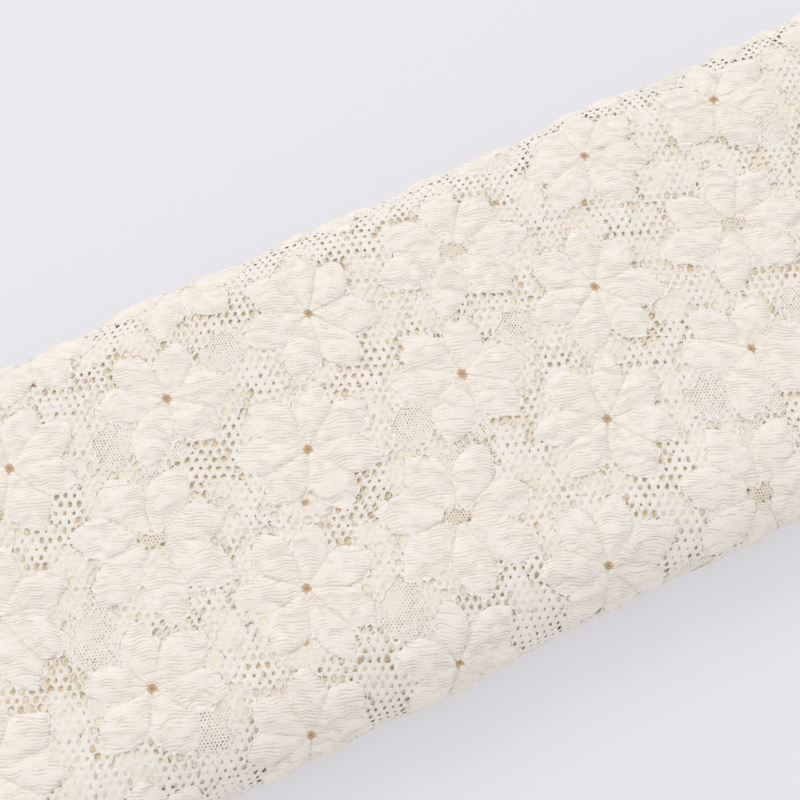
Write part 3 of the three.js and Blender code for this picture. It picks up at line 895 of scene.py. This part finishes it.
# %% [markdown]
# Lace needs three finishes: the raised petals, the net between them, and the turns inside the
# roll, which are painted golden and tan with the shade that falls between layers. All are matt
# cotton and nylon, so they are rough with a soft sheen. The petals get a knitted bump finer
# than their ribs, a paler, fuzzy rim and a warmer painted shade in their grooves, where light
# is caught between the yarns; the seams, the walls of the net's holes and the eyes' dishes get
# the same painted shade. The net is a little whiter.

# %% Materials
Tints = namedtuple("Tints", "light deep rim groove")


def add_node(tree, kind, **settings):
    node = tree.nodes.new(kind)
    for key, value in settings.items():
        setattr(node, key, value)
    return node


def scaled_cloth(tree, source, along, across):
    """The place in the pattern, measured in other units along and across the rows."""
    scaled = add_node(tree, "ShaderNodeVectorMath", operation="MULTIPLY")
    scaled.inputs[1].default_value = (along, across, 0.0)
    tree.links.new(source.outputs["Vector"], scaled.inputs[0])
    return scaled


def noise(tree, source, detail):
    texture = add_node(tree, "ShaderNodeTexNoise")
    texture.inputs["Scale"].default_value = 1.0
    texture.inputs["Detail"].default_value = detail
    tree.links.new(source.outputs[0], texture.inputs["Vector"])
    return texture.outputs["Fac"]


def mapped(tree, value, low, high):
    """A share from 0 to 1 as a value runs from low to high."""
    share = add_node(tree, "ShaderNodeMapRange")
    share.inputs["From Min"].default_value = low
    share.inputs["From Max"].default_value = high
    tree.links.new(value, share.inputs["Value"])
    return share.outputs["Result"]


def blend(tree, share, first, second):
    """A colour between two, each a plain colour or another node's output."""
    node = add_node(tree, "ShaderNodeMix", data_type="RGBA")
    tree.links.new(share, node.inputs["Factor"])
    for socket, colour in ((node.inputs["A"], first), (node.inputs["B"], second)):
        if isinstance(colour, tuple):
            socket.default_value = (*colour, 1.0)
        else:
            tree.links.new(colour, socket)
    return node.outputs["Result"]


def summed(tree, first, second, share):
    """One value and a share of another."""
    node = add_node(tree, "ShaderNodeMath", operation="MULTIPLY_ADD")
    node.inputs[1].default_value = share
    tree.links.new(second, node.inputs[0])
    tree.links.new(first, node.inputs[2])
    return node.outputs[0]


def cloth_material(name, tints, bump_size, stitch):
    """Matt knitted cloth whose colour and bump follow the pattern's own directions."""
    material = bpy.data.materials.new(name)
    material.use_nodes = True
    tree = material.node_tree
    tree.nodes.clear()
    output = add_node(tree, "ShaderNodeOutputMaterial")
    shader = add_node(tree, "ShaderNodeBsdfPrincipled")
    shader.inputs["Roughness"].default_value = 0.92
    shader.inputs["Specular IOR Level"].default_value = 0.2
    shader.inputs["Sheen Weight"].default_value = 0.2
    shader.inputs["Sheen Roughness"].default_value = 0.6
    shader.inputs["Sheen Tint"].default_value = (1.0, 0.97, 0.92, 1.0)
    tree.links.new(shader.outputs[0], output.inputs["Surface"])

    cloth = add_node(tree, "ShaderNodeAttribute", attribute_name="cloth")
    groove = add_node(tree, "ShaderNodeAttribute", attribute_name="groove")
    streaks = noise(tree, scaled_cloth(tree, cloth, 0.6, 2.2), 4.0)
    blotches = noise(tree, scaled_cloth(tree, cloth, 0.16, 0.16), 3.0)
    mottling = mapped(tree, summed(tree, streaks, blotches, 0.8), 0.7, 1.1)
    body = blend(tree, mottling, tints.deep, tints.light)
    parts = add_node(tree, "ShaderNodeSeparateXYZ")
    tree.links.new(cloth.outputs["Vector"], parts.inputs[0])
    edged = blend(tree, mapped(tree, parts.outputs["Z"], 1.7, 0.2), body, tints.rim)
    # The groove attribute blends the colour towards the groove tint, and past 1 towards a darker
    # one: painted shade in grooves, seams, holes and round eyes, and a darker tone round the half
    # moons.
    painted_groove_shade = blend(tree, mapped(tree, groove.outputs["Fac"], 0.0, 1.0), edged, tints.groove)
    darker_painted_shade = tuple(share * share for share in tints.groove)
    painted_groove_shade = blend(tree, mapped(tree, groove.outputs["Fac"], 1.0, 2.0), painted_groove_shade, darker_painted_shade)
    tree.links.new(painted_groove_shade, shader.inputs["Base Color"])

    stitches = noise(tree, scaled_cloth(tree, cloth, *stitch), 3.0)
    fuzz = noise(tree, scaled_cloth(tree, cloth, 3.6, 3.6), 4.0)
    bump = add_node(tree, "ShaderNodeBump")
    bump.inputs["Strength"].default_value = 0.8
    bump.inputs["Distance"].default_value = bump_size * 0.001
    tree.links.new(summed(tree, stitches, fuzz, 0.8), bump.inputs["Height"])
    tree.links.new(bump.outputs["Normal"], shader.inputs["Normal"])
    return material


petal_finish = cloth_material(
    "knitted_petals",
    Tints(light=(0.965, 0.908, 0.822), deep=(0.94, 0.872, 0.775), rim=(0.96, 0.905, 0.825),
          groove=(0.82, 0.745, 0.64)),
    0.42,
    (1.3, 2.6),
)
net_finish = cloth_material(
    "open_net",
    Tints(light=(0.955, 0.912, 0.855), deep=(0.92, 0.872, 0.808), rim=(0.93, 0.88, 0.82),
          groove=(0.9, 0.835, 0.725)),
    0.34,
    (1.5, 2.4),
)
# The turns under the outer one are the same ivory lace; their finishes are painted golden and tan
# with the shade that falls between layers.
shaded_second_finish = cloth_material(
    "second_turn",
    Tints(light=(0.9, 0.825, 0.695), deep=(0.86, 0.775, 0.63), rim=(0.9, 0.825, 0.695),
          groove=(0.84, 0.72, 0.53)),
    0.2,
    (1.5, 1.5),
)
# The groove tint here is also the painted brown shade in the eyes' dishes.
shaded_inner_finish = cloth_material(
    "inner_turns",
    Tints(light=(0.86, 0.72, 0.5), deep=(0.78, 0.62, 0.4), rim=(0.84, 0.72, 0.54),
          groove=(0.5, 0.33, 0.18)),
    0.2,
    (1.5, 1.5),
)
finishes = (petal_finish, net_finish, shaded_second_finish, shaded_inner_finish)
print("finishes:", [finish.name for finish in finishes])

# %% [markdown]
# The cut sides of the cloth are finished with a firm narrow band, and so is the outer end.
# The band is a rounded strip swept round the roll, thicker than the net and a little wavy.

# %% Bands along the cut sides and the outer end
BAND_PROFILE = np.array(  # distance in from the edge and height, mm
    [(3.6, -0.2), (2.6, 0.16), (1.5, 0.26), (0.6, 0.24), (0.05, 0.02), (0.0, -0.25), (0.5, -0.48),
     (1.8, -0.5)]
)


def sheet_lace(along, girth, out, cloth_girth, faces):
    """Plain lace from a grid of places, with no rims or grooves."""
    along, girth, out, cloth_girth = np.broadcast_arrays(along, girth, out, cloth_girth)
    cloth = np.stack([along.ravel(), cloth_girth.ravel()], axis=1)
    return Lace(along.ravel(), girth.ravel(), out.ravel(), cloth,
                np.full(along.size, FAR_FROM_RIM), np.zeros(along.size), faces,
                np.zeros(len(faces)))


def side_bands(low, high, step, seed, cloth_shift):
    """Both side bands of a stretch of the roll, from one girth to another."""
    count = int((high - low) / step) + 1
    girth = np.linspace(low, high, count)[:, None]
    sets = []
    for end in (-1.0, 1.0):
        wander = 0.35 * drift(girth, girth * 0, 7, seed + (end > 0)) - 0.35
        puff = 1 + 0.3 * drift(girth, girth * 0, 3.1, seed + 3)
        along = end * (END - BAND_PROFILE[:, 0] + wander)
        faces = grid_quads(*along.shape)
        if end > 0:
            faces = faces[:, ::-1]
        out = BAND_PROFILE[:, 1] * puff
        sets.append(sheet_lace(along, girth, out, girth - cloth_shift, faces))
    return join_lace(sets)


def end_band(girth_end, step):
    """The firm band along the cloth's outer end."""
    count = int(ROLL_LENGTH / step) + 1
    along = np.linspace(-END + 0.4, END - 0.4, count)[:, None]
    wander = 0.4 * drift(along, along * 0, 9, 91) - 0.4
    girth = girth_end - BAND_PROFILE[:, 0] + wander
    return sheet_lace(along, girth, BAND_PROFILE[:, 1], girth, grid_quads(*girth.shape)[:, ::-1])


# %% [markdown]
# The outer turn is what the camera sees, so it has every rib and both nets. It is one cloth,
# but a single mesh of that many faces is slow to handle, so it is made as five strips that meet
# along the roll. A petal on a border goes whole to the strip that its middle lies in. The face
# that the roll rests on is rarely seen and has wider rows and plainer holes.

# %% The outer turn
UNDER_LAP_REACH = 8.0  # how far the outer turn goes on under its own end
OUTER_LOW = UNDER_LAP_GIRTH - UNDER_LAP_REACH
UNDERSIDE = -HALF_FLAT - EDGE_LENGTH
Strip = namedtuple("Strip", "name low high row_step stitch_step net")
STRIPS = [
    Strip("lace_top_far", 0.0, HALF_FLAT, RIB_PITCH / 3, 1.25, OPEN_NET),
    Strip("lace_top_near", -HALF_FLAT, 0.0, RIB_PITCH / 3, 1.25, OPEN_NET),
    Strip("lace_near_edge", UNDERSIDE, -HALF_FLAT, RIB_PITCH / 3, 1.25, OPEN_NET),
    Strip("lace_far_edge", HALF_FLAT, LAP_GIRTH, RIB_PITCH / 3, 1.25, OPEN_NET),
    Strip("lace_underside", OUTER_LOW, UNDERSIDE, RIB_PITCH / 2, 3.4, PLAIN_NET),
]
GROOVE_SIZE = 0.2


def pick(lace, strip):
    """The faces that belong to a strip. Its first and last one take what lies beyond them."""
    low = -math.inf if strip.low == OUTER_LOW else strip.low
    high = math.inf if strip.high == LAP_GIRTH else strip.high
    kept = (lace.anchor >= low) & (lace.anchor < high)
    return lace._replace(faces=lace.faces[kept], anchor=lace.anchor[kept])


def dress(name, sets, turn, materials):
    """One piece from sets of lace and the number of each set's material."""
    joined = join_lace([lace for lace, _ in sets])
    number = np.concatenate([np.full(len(lace.faces), which) for lace, which in sets])
    points = wrap(joined.along, joined.girth, joined.out, turn)
    piece = make_piece(name, points, joined, materials, number)
    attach(piece, "root")
    return piece


seams = set_seams(outer_flowers, OUTER_LOW, LAP_GIRTH)
dishes = set_eyes(outer_flowers, OUTER_LOW, LAP_GIRTH)
fine_cells = fine_net(outer_flowers, OUTER_LOW, LAP_GIRTH)
petal_sets = {}
open_sets = {}
for strip in STRIPS:
    steps = (strip.row_step, strip.stitch_step)
    if steps not in petal_sets:
        petal_sets[steps] = set_petals(
            outer_flowers, OUTER_LOW, LAP_GIRTH, *steps, GROOVE_SIZE, 1.0
        )
        open_sets[steps] = open_net(
            strip.net, outer_flowers, OUTER_LOW, LAP_GIRTH, strip.net is OPEN_NET
        )
    sets = [
        (pick(petal_sets[steps], strip), 0),
        (pick(seams, strip), 0),
        (pick(dishes, strip), 2),
        (pick(open_sets[steps], strip), 1),
        (side_bands(strip.low, strip.high, 1.1, 81, 0), 1),
    ]
    if strip.net is OPEN_NET:
        sets.append((pick(fine_cells, strip), 1))
    if strip.high == LAP_GIRTH:
        sets.append((end_band(LAP_GIRTH, 1.5), 1))
    piece = dress(strip.name, sets, 0, [petal_finish, net_finish, shaded_inner_finish])
    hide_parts("lace_roll")

# %% [markdown]
# Through the holes the next turn shows, and through its holes the one after it, darker and
# warmer each time as the light is lost between layers. So the second turn is real lace too,
# with wider rows and simpler cells, and its finish is painted golden with that shade. It is
# pressed up against the outer turn.

# %% The second turn
SECOND_LOW = OUTER_LOW
SECOND_HIGH = LAP_GIRTH - UNDER_LAP_REACH
SECOND_LIFT = 0.8
SECOND_TALLNESS = 0.26  # its petals are pressed nearly flat
second_stretch = (SECOND_LOW - GIRTH, SECOND_HIGH - GIRTH)
second_flowers = flowers_between(*second_stretch)


def on_turn(lace, turn, lift):
    """The cloth of a later turn lies one girth further on for each turn."""
    return lace._replace(girth=lace.girth + turn * GIRTH, out=lace.out + lift)


second_petals = set_petals(second_flowers, *second_stretch, RIB_PITCH * 2, 4.0, 0, SECOND_TALLNESS)
second_cells = open_net(PLAIN_NET, second_flowers, *second_stretch, False)
second = dress(
    "lace_second_turn",
    [
        (on_turn(second_petals, 1, SECOND_LIFT), 0),
        (on_turn(second_cells, 1, SECOND_LIFT), 0),
        (side_bands(SECOND_LOW, SECOND_HIGH, 2.0, 84, GIRTH), 1),
    ],
    1,
    [shaded_second_finish, net_finish],
)

# %% [markdown]
# The turns further in show only at the two ends of the roll, as a stack of soft edges, and as a
# warm shade behind the holes. They are one long spiral sheet with the same firm side bands, and
# the plain sheet between the bands is painted tan with that shade.

# %% The inner turns
LAST_TURN = 12
INNER_STEP = 4.0
INNER_COLUMNS = 13
THIRD_TURN_COLUMNS = 61  # it shows through the holes, so it follows the dents of the cloth
BAND_INSET = 3.0  # the plain cloth ends this far in, under its side bands
LIFT_STEP = 0.4
TOP_INNER_LIFT = 1.72  # the third turn is pressed up too, and those below it ever less


def spiral_sheet(turn):
    """One turn of plain cloth between its side bands."""
    count = int((SECOND_HIGH - SECOND_LOW) / INNER_STEP) + 1
    girth = np.linspace(SECOND_LOW, SECOND_HIGH, count)[:, None]
    limit = END - BAND_INSET
    columns = THIRD_TURN_COLUMNS if turn == 2 else INNER_COLUMNS
    along = np.linspace(-limit, limit, columns)[None]
    lift = max(0, TOP_INNER_LIFT - LIFT_STEP * (turn - 2))
    out = lift + 0.16 * drift(along, girth + turn * 50, 5, 95)
    return sheet_lace(along, girth, out, girth - turn * GIRTH, grid_quads(*out.shape)[:, ::-1])


inner_points = []
inner_sets = []
for turn in range(2, LAST_TURN + 1):
    bands = side_bands(SECOND_LOW, SECOND_HIGH, INNER_STEP, 100 + 7 * turn, turn * GIRTH)
    for lace, number in ((bands, 0), (spiral_sheet(turn), 1)):
        inner_points.append(wrap(lace.along, lace.girth, lace.out, turn))
        inner_sets.append((lace, number))
inner = make_piece(
    "lace_inner_turns",
    np.concatenate(inner_points),
    join_lace([lace for lace, _ in inner_sets]),
    [net_finish, shaded_inner_finish],
    np.concatenate([np.full(len(lace.faces), number) for lace, number in inner_sets]),
)
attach(inner, "root")

# %% [markdown]
# A product picture of pale cloth is taken on a nearly white table in soft light from all round,
# with a little more from the upper left and behind. A plain plane, a pale world and one wide
# soft lamp give that. The table is lit from below as well, which keeps the shadow faint. It is
# not part of the object.

# %% The table
floor_mesh = bpy.data.meshes.new("table_top")
reach = 4.0  # half its width, metres
floor_mesh.from_pydata(
    [(-reach, -reach, 0), (reach, -reach, 0), (reach, reach, 0), (-reach, reach, 0)],
    [],
    [(0, 1, 2, 3)],
)
floor = bpy.data.objects.new("table_top", floor_mesh)
bpy.context.scene.collection.objects.link(floor)
floor_material = bpy.data.materials.new("pale_table")
floor_material.use_nodes = True
floor_shader = floor_material.node_tree.nodes["Principled BSDF"]
floor_shader.inputs["Base Color"].default_value = (0.4, 0.396, 0.422, 1.0)
floor_shader.inputs["Emission Color"].default_value = (0.97, 0.96, 1.0, 1.0)
floor_shader.inputs["Emission Strength"].default_value = 0.4
floor_shader.inputs["Roughness"].default_value = 0.7
floor_shader.inputs["Specular IOR Level"].default_value = 0.2
floor_mesh.materials.append(floor_material)

# %% Light
LAMP_PLACE = (-0.3, 1.2, 1.3)
LAMP_ACROSS = 1.6
LAMP_WATTS = 9.0

world = bpy.data.worlds.new("soft_room")
bpy.context.scene.world = world
world.use_nodes = True
background = world.node_tree.nodes["Background"]
background.inputs["Color"].default_value = (0.99, 0.985, 1.0, 1.0)
background.inputs["Strength"].default_value = 0.89

lamp_data = bpy.data.lights.new("window_light", "AREA")
lamp_data.shape = "DISK"
lamp_data.size = LAMP_ACROSS
lamp_data.energy = LAMP_WATTS
lamp_data.color = (1.0, 0.985, 0.96)
lamp = bpy.data.objects.new("window_light", lamp_data)
lamp.location = LAMP_PLACE
lamp.rotation_mode = "QUATERNION"
lamp.rotation_quaternion = (Vector((0, 0, 0)) - lamp.location).to_track_quat("-Z", "Y")
bpy.context.scene.collection.objects.link(lamp)

# Light reaches the inner turns only by many bounces between pale layers
bpy.context.scene.cycles.max_bounces = 16
bpy.context.scene.cycles.diffuse_bounces = 12
bpy.context.scene.view_settings.view_transform = "Standard"
bpy.context.scene.view_settings.look = "None"
print(f"lamp: {lamp_data.energy:.0f} W, {lamp.location.length:.2f} m from the roll")

# %% [markdown]
# The picture was taken from above and in front of the roll, a little to its left, with a long
# lens. The place and direction below were fitted to the centres of the flowers in the picture.

# %% The camera
CAMERA_PLACE = Vector((-0.11318, -0.20763, 0.54381))
CAMERA_AIM = Vector((0.19379, 0.37758, -0.90547))
FOCAL_PIXELS = 1989.8
PICTURE_PIXELS = 800

camera_data = bpy.data.cameras.new("camera")
camera_data.sensor_width = 36.0
camera_data.lens = FOCAL_PIXELS / PICTURE_PIXELS * camera_data.sensor_width
camera_data.clip_start = 0.01
camera = bpy.data.objects.new("camera", camera_data)
camera.location = CAMERA_PLACE
camera.rotation_mode = "QUATERNION"
camera.rotation_quaternion = CAMERA_AIM.to_track_quat("-Z", "Y")
bpy.context.scene.collection.objects.link(camera)
bpy.context.scene.camera = camera
print(f"lens: {camera_data.lens:.1f} mm")
